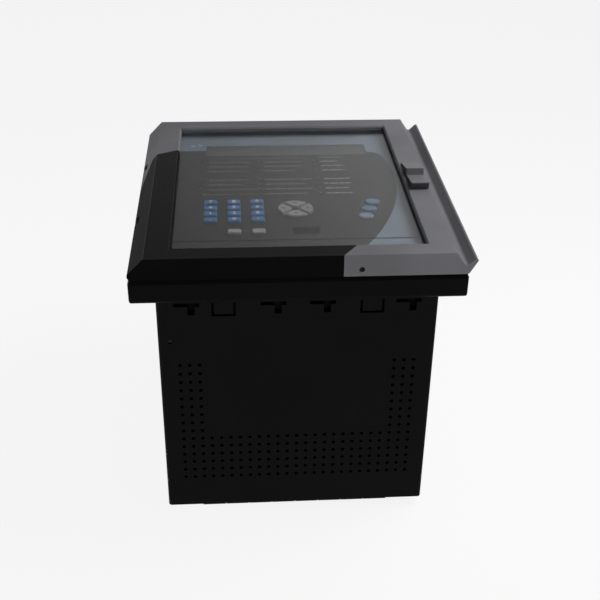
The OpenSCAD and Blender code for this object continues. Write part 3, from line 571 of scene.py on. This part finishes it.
def piece_from(name, shape, material):
    """New object from a bmesh, with smooth shading up to the shade angle."""
    mesh = bpy.data.meshes.new(name)
    for face in shape.faces:
        face.smooth = True
    shape.to_mesh(mesh)
    shape.free()
    mesh.set_sharp_from_angle(angle=SHADE_ANGLE)
    mesh.materials.append(material)
    piece = add_object(name, mesh)
    even = piece.modifiers.new("even_shading", "WEIGHTED_NORMAL")
    even.keep_sharp = True
    return piece


def prism(shape, outline, low, high):
    """Closed prism between two heights over an outline of points in metres."""
    bottom = shape.faces.new([shape.verts.new((x, y, low)) for x, y in outline])
    raised = bmesh.ops.extrude_face_region(shape, geom=[bottom])
    top = [item for item in raised["geom"] if isinstance(item, bmesh.types.BMVert)]
    bmesh.ops.translate(shape, verts=top, vec=(0, 0, high - low))


def clean_copy(name):
    """Copy of a solid's mesh, welded and with its flat faces joined."""
    shape = bmesh.new()
    shape.from_mesh(frame["nodes"][name].data)
    bmesh.ops.remove_doubles(shape, verts=shape.verts, dist=WELD)
    bmesh.ops.dissolve_limit(shape, angle_limit=FLAT_ANGLE, verts=shape.verts, edges=shape.edges)
    return shape


def sharp_edges(shape, shortest):
    """Sharp edges over a length, so that small holes don't limit the rounding."""
    return [
        edge for edge in shape.edges
        if len(edge.link_faces) == 2 and edge.calc_face_angle(0) > SHARP_ANGLE
        and edge.calc_length() > shortest]


def edges_where(shape, test):
    """Edges with both ends at places that pass a test."""
    return [edge for edge in shape.edges if all(test(vert.co) for vert in edge.verts)]


def round_over(shape, edges, radius, segments=2):
    bmesh.ops.bevel(
        shape, geom=edges, offset=radius, segments=segments, profile=0.5, affect="EDGES",
        clamp_overlap=True)


def stand_in(name, shape, material):
    """Lets a shape stand for a CAD node."""
    piece = piece_from(f"{name}_rounded", shape, material)
    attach(piece, frame["nodes"][name]["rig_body"])
    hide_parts(name)


def soften(material, radius, shortest, *names):
    """Copies solids with their sharp edges rounded, and lets the copies stand for them."""
    for name in names:
        shape = clean_copy(name)
        round_over(shape, sharp_edges(shape, shortest), radius)
        stand_in(name, shape, material)


def dress(material, *names):
    """Gives CAD nodes their finish as they stand."""
    for name in names:
        finish = frame["nodes"][name].data.materials
        finish.clear()
        finish.append(material)


# Pieces with a form of their own

def door():
    """Door with rounded edges and a round groove before its pull lip."""
    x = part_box("collar")[1].x - GROOVE_IN
    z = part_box("door_frame")[0].z + GROOVE_RISE
    shape = clean_copy("door_frame")
    groove = edges_where(shape, lambda place: math.hypot(place.x - x, place.z - z) < GROOVE_NEAR)
    round_over(shape, groove, GROOVE_RUN, GROOVE_STEPS)
    round_over(shape, sharp_edges(shape, DOOR_SHORTEST), DOOR_ROUND)
    stand_in("door_frame", shape, DOOR)


def handle_strip():
    """Handle strip, set back until it is nearly flush with the face."""
    shape = clean_copy("locking_handle")
    bmesh.ops.translate(shape, verts=shape.verts, vec=(0, 0, -STRIP_SINK))
    round_over(shape, sharp_edges(shape, STRIP_SHORTEST), STRIP_ROUND)
    stand_in("locking_handle", shape, FACE)


def oval_key(name, material):
    """Oval key, a little smaller than its solid and nearer the right end of its hole."""
    low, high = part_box(name)
    to_middle = Matrix.Translation(-(low + high) / 2)
    shape = clean_copy(name)
    bmesh.ops.scale(shape, verts=shape.verts, vec=(OVAL_SHARE, OVAL_SHARE, 1), space=to_middle)
    bmesh.ops.translate(shape, verts=shape.verts, vec=(OVAL_SHIFT, 0, 0))
    round_over(shape, sharp_edges(shape, KEY_SHORTEST), KEY_ROUND)
    stand_in(name, shape, material)


def thumb_slide():
    """Thumb slide: a wedge with a stop for the thumb, a ramp up to the near crest, and its stem."""
    low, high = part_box("latch_slider")
    base = high.z - LATCH_HIGH
    middle = (low.x + high.x) / 2
    outline = [
        (low.y + LATCH_LEAN, base), (high.y, base), (high.y, base + LATCH_EDGE),
        (LATCH_STOP + LATCH_LEAN, high.z), (LATCH_STOP, base + LATCH_FOOT),
        (low.y + LATCH_EDGE, base + LATCH_CREST), (low.y, base + LATCH_CREST - LATCH_EDGE)]
    stem = [
        (LATCH_STEM_NEAR, low.z), (LATCH_STEM_FAR, low.z),
        (LATCH_STEM_FAR, base), (LATCH_STEM_NEAR, base)]
    shape = bmesh.new()
    prism(shape, outline, low.x, high.x)
    prism(shape, stem, middle - LATCH_STEM_W / 2, middle + LATCH_STEM_W / 2)
    upright = Matrix(((0, 0, 1), (1, 0, 0), (0, 1, 0)))
    bmesh.ops.transform(shape, verts=shape.verts, matrix=upright)
    bmesh.ops.recalc_face_normals(shape, faces=shape.faces)
    round_over(shape, sharp_edges(shape, LATCH_SHORTEST), LATCH_ROUND)
    stand_in("latch_slider", shape, GREY)


# Printed marks and contacts

def flat_marks(name, outlines, z, material, body="root", thick=INK_THICK):
    """Thin printed shapes on one level."""
    shape = bmesh.new()
    for outline in outlines:
        prism(shape, outline, z, z + thick)
    bmesh.ops.recalc_face_normals(shape, faces=shape.faces)
    piece = piece_from(name, shape, material)
    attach(piece, body)


def bar(left, right, middle, height):
    """Outline of an upright rectangle, from millimetres."""
    low, high = middle - height / 2, middle + height / 2
    return [(x * MM, y * MM) for x, y in ((left, low), (right, low), (right, high), (left, high))]


def words(left, right, middle, turn):
    """Outlines of word-like dashes that fill a printed line, with their lengths taken in turn."""
    dashes = []
    while right - left > WORD_GAP:
        end = min(left + WORD_LENGTHS[turn % len(WORD_LENGTHS)], right)
        dashes.append(bar(left, end, middle, PRINT_HEIGHT))
        left = end + WORD_GAP
        turn += 1
    return dashes


def ring_points(centre, radius):
    """Points of a small circle."""
    turns = [2 * math.pi * i / CIRCLE_POINTS for i in range(CIRCLE_POINTS)]
    return [(centre[0] + radius * math.cos(a), centre[1] + radius * math.sin(a)) for a in turns]


def face_marks():
    """Printed lines beside the lamps, rules over them and small marks on the faceplate."""
    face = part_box("faceplate")[1].z
    lamps_low, lamps_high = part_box("indicator_lenses")
    top, low = lamps_high.y / MM - LAMP_R, lamps_low.y / MM + LAMP_R
    rows = [top + (low - top) * step / LAMP_STEPS[-1] for step in LAMP_STEPS]
    inks = (DARK_INK, LINE_INK, BRIGHT_INK)
    for number, (left, ends) in enumerate(PRINT_COLUMNS):
        lines = [bar(left, max(ends), top + HEAD_RISE, RULE_HEIGHT)]
        for turn, (end, row) in enumerate(zip(ends, rows)):
            lines += words(left, end, row, turn + number)
        flat_marks(f"print_column_{number + 1}", lines, face, inks[number])
    key_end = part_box("menu_key_left")[1]
    rule_left = key_end.x / MM + MENU_RULE_GAP
    rule_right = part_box("menu_key_right")[0].x / MM - MENU_RULE_GAP
    rule = bar(rule_left, rule_right, key_end.y / MM - MENU_RULE_DROP, RULE_HEIGHT)
    flat_marks("menu_rule", [rule], face, LINE_INK)
    corners = [bar(*mark, CORNER_HEIGHT) for mark in CORNER_MARKS]
    flat_marks("corner_marks", corners, face, SKY_INK)
    flat_marks("red_marks", [bar(*RED_ENDS, low, PRINT_HEIGHT)], face, RED_INK)
    flat_marks("yellow_marks", [bar(*YELLOW_ENDS, low, RULE_HEIGHT)], face, YELLOW_INK)


def port_contacts():
    """Nine contacts in two rows on the program port's insert."""
    low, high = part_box("program_port")
    middle = (low + high) / 2
    spots = [(column * CONTACT_PITCH, CONTACT_ROW) for column in range(-2, 3)]
    spots += [((column + 0.5) * CONTACT_PITCH, -CONTACT_ROW) for column in range(-2, 2)]
    rounds = [ring_points((middle.x + x, middle.y + y), CONTACT_R) for x, y in spots]
    level = high.z - CONTACT_DEPTH
    flat_marks("port_contacts", rounds, level, BRASS, thick=CONTACT_THICK)


def key_mark(key, text):
    """Plain digit or sign on top of a key."""
    low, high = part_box(key)
    letters = bpy.data.curves.new(f"{key}_mark", "FONT")
    letters.body = text
    letters.size = SIGN_SIZE
    letters.align_x = "CENTER"
    letters.align_y = "CENTER"
    letters.extrude = INK_THICK
    letters.offset = STROKE_GROWTH
    drawn = add_object(f"{key}_drawn", letters)
    bpy.context.view_layer.update()
    ready = drawn.evaluated_get(bpy.context.evaluated_depsgraph_get())
    mesh = bpy.data.meshes.new_from_object(ready)
    bpy.data.objects.remove(drawn)
    mesh.transform(Matrix.Translation(((low.x + high.x) / 2, (low.y + high.y) / 2, high.z)))
    mesh.materials.clear()
    mesh.materials.append(WHITE_INK)
    mark = add_object(f"{key}_mark", mesh)
    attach(mark, frame["nodes"][key]["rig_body"])


def arrow_marks(keys):
    """Triangle on each arrow key that points away from the middle of the pad."""
    for turn, key in enumerate(keys):
        low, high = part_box(key)
        middle = (low + high) / 2
        angle = turn * math.pi / 2
        ahead = Vector((math.cos(angle), math.sin(angle)))
        aside = Vector((-ahead.y, ahead.x)) * ARROW_HALF
        tip = middle.xy + ahead * ARROW_TIP
        base = middle.xy + ahead * ARROW_BASE
        corners = [tuple(place) for place in (tip, base + aside, base - aside)]
        body = frame["nodes"][key]["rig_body"]
        flat_marks(f"{key}_mark", [corners], high.z, DARK_INK, body)


def dress_all():
    """Gives every node its finish, and adds the marks."""
    number_keys = [f"number_key_{i + 1}" for i in range(len(KEY_SIGNS))]
    arrow_keys = [f"arrow_key_{side}" for side in ("right", "up", "left", "down")]
    door()
    handle_strip()
    thumb_slide()
    oval_key("oval_key_upper", SKY_KEY)
    oval_key("oval_key_middle", SKY_KEY)
    oval_key("oval_key_lower", VIOLET_KEY)
    soften(COLLAR, COLLAR_ROUND, COLLAR_SHORTEST, "collar")
    soften(CASE, CASE_ROUND, CASE_SHORTEST, "case_shell")
    soften(BLUE_KEY, KEY_ROUND, KEY_SHORTEST, *number_keys)
    soften(MENU_KEY, KEY_ROUND, KEY_SHORTEST, "menu_key_left", "menu_key_right")
    soften(ARROW_KEY, KEY_ROUND, KEY_SHORTEST, *arrow_keys)
    dress(CASE, "rear_panel")
    dress(COLLAR, "collar_rivets")
    dress(SEAL, "door_gasket")
    dress(FACE, "faceplate")
    dress(PANE, "window_pane")
    dress(LENS, "display_lens")
    dress(LAMP, "indicator_lenses")
    dress(STRIP, "terminal_blocks", "case_sockets", "guide_rails")
    dress(BLACK, "front_frame", "program_port", "latch_bolt", "output_relays", "filter_capacitors")
    dress(PALE_GREY, "ribbon_cable", "unit_plugs")
    dress(ZINC, "terminal_screws", "ground_nut", "handle_catch", "handle_pins", "hinge_pins")
    # Painted shade: the chassis is coloured near black to stand for the shade inside the case
    dress(SHADED_ZINC, "chassis")
    dress(BRASS, "ground_stud")
    dress(BOARD, "front_board", "display_module", "processor_board", "input_board", "power_board")
    dress(CORE, "input_transformers", "power_transformer")
    for key, text in zip(number_keys, KEY_SIGNS):
        key_mark(key, text)
    arrow_marks(arrow_keys)
    face_marks()
    port_contacts()


# Camera and studio

def camera():
    """Camera at the photograph's place, turned by yaw, pitch and roll."""
    level = math.cos(CAMERA_PITCH)
    ahead = Vector((
        -math.sin(CAMERA_YAW) * level, math.cos(CAMERA_YAW) * level, -math.sin(CAMERA_PITCH)))
    right = Vector((math.cos(CAMERA_YAW), math.sin(CAMERA_YAW), 0))
    up = right.cross(ahead)
    right, up = (
        math.cos(CAMERA_ROLL) * right + math.sin(CAMERA_ROLL) * up,
        math.cos(CAMERA_ROLL) * up - math.sin(CAMERA_ROLL) * right)
    view = bpy.data.cameras.new("camera")
    view.lens = CAMERA_LENS
    view.clip_start = CAMERA_NEAREST
    holder = add_object("camera", view)
    turned = Matrix((right, up, -ahead)).transposed().to_4x4()
    holder.matrix_world = Matrix.Translation(CAMERA_AT) @ turned
    bpy.context.scene.camera = holder


def floor():
    """Pale floor with a low wall far off, which look near white and keep the object's shadow."""
    shape = bmesh.new()
    bmesh.ops.create_grid(shape, x_segments=1, y_segments=1, size=FLOOR_HALF)
    raised = bmesh.ops.extrude_edge_only(shape, edges=shape.edges)
    rim = [item for item in raised["geom"] if isinstance(item, bmesh.types.BMVert)]
    bmesh.ops.translate(shape, verts=rim, vec=(0, 0, WALL_HIGH))
    mesh = bpy.data.meshes.new("floor")
    shape.to_mesh(mesh)
    shape.free()
    graph = Graph("floor")
    cloud = graph.noise(FLOOR_CLOUD, detail=2)
    drift = graph.choose(cloud, 1 - FLOOR_DRIFT, 1 + FLOOR_DRIFT)
    graph.put(
        Base_Color=graph.brighter((FLOOR_TONE, FLOOR_TONE, FLOOR_TONE, 1), drift),
        Roughness=FLOOR_ROUGH, Specular_IOR_Level=FLOOR_SHINE)
    path = graph.nodes.new("ShaderNodeLightPath").outputs
    seen = graph.either(path["Is Camera Ray"], path["Is Glossy Ray"])
    seen = graph.either(seen, path["Is Transmission Ray"])
    share = graph.calc("MULTIPLY", seen, FLOOR_GLOW)
    graph.lay_over(share, graph.nodes.new("ShaderNodeEmission"))
    mesh.materials.append(graph.material)
    ground = add_object("floor", mesh)
    ground.location.z = cad_box[0].z


def lamp(name, place, aim, size, watts):
    """Soft rectangular lamp."""
    light = bpy.data.lights.new(name, "AREA")
    light.shape = "RECTANGLE"
    light.size, light.size_y = size
    light.energy = watts
    holder = add_object(name, light)
    holder.location = place
    holder.rotation_mode = "QUATERNION"
    holder.rotation_quaternion = (aim - place).to_track_quat("-Z", "Y")


def lamps():
    """Lamp at the right, and low fills in front and at the left."""
    lamp("lamp", LAMP_AT, LAMP_AIM, LAMP_SIZE, LAMP_WATTS)
    fill_aim = Vector((0, 0, FILL_HEIGHT))
    front = Vector((0, FRONT_FILL_Y, FILL_HEIGHT))
    left = Vector((LEFT_FILL_X, 0, FILL_HEIGHT))
    lamp("front_fill", front, fill_aim, FILL_SIZE, FRONT_FILL_WATTS)
    lamp("left_fill", left, fill_aim, FILL_SIZE, LEFT_FILL_WATTS)


def sky():
    """Sky that is brighter at the right and behind."""
    world = bpy.data.worlds.new("sky")
    world.use_nodes = True
    bpy.context.scene.world = world
    nodes, links = world.node_tree.nodes, world.node_tree.links

    def graded(value, low, high, to_low, to_high):
        made = nodes.new("ShaderNodeMapRange")
        made.interpolation_type = "SMOOTHSTEP"
        links.new(value, made.inputs[0])
        for index, number in enumerate((low, high, to_low, to_high), 1):
            made.inputs[index].default_value = number
        return made.outputs[0]

    apart = nodes.new("ShaderNodeSeparateXYZ")
    links.new(nodes.new("ShaderNodeTexCoord").outputs["Generated"], apart.inputs[0])
    side = graded(apart.outputs["X"], SKY_LEFT, SKY_RIGHT, SKY_DIM, SKY_BRIGHT)
    depth = graded(apart.outputs["Y"], SKY_FRONT, SKY_BACK, SKY_FRONT_SHARE, 1.0)
    joined = nodes.new("ShaderNodeMath")
    joined.operation = "MULTIPLY"
    links.new(side, joined.inputs[0])
    links.new(depth, joined.inputs[1])
    links.new(joined.outputs[0], nodes["Background"].inputs["Color"])


camera()
dress_all()
floor()
lamps()
sky()
bpy.context.scene.view_settings.view_transform = "Standard"
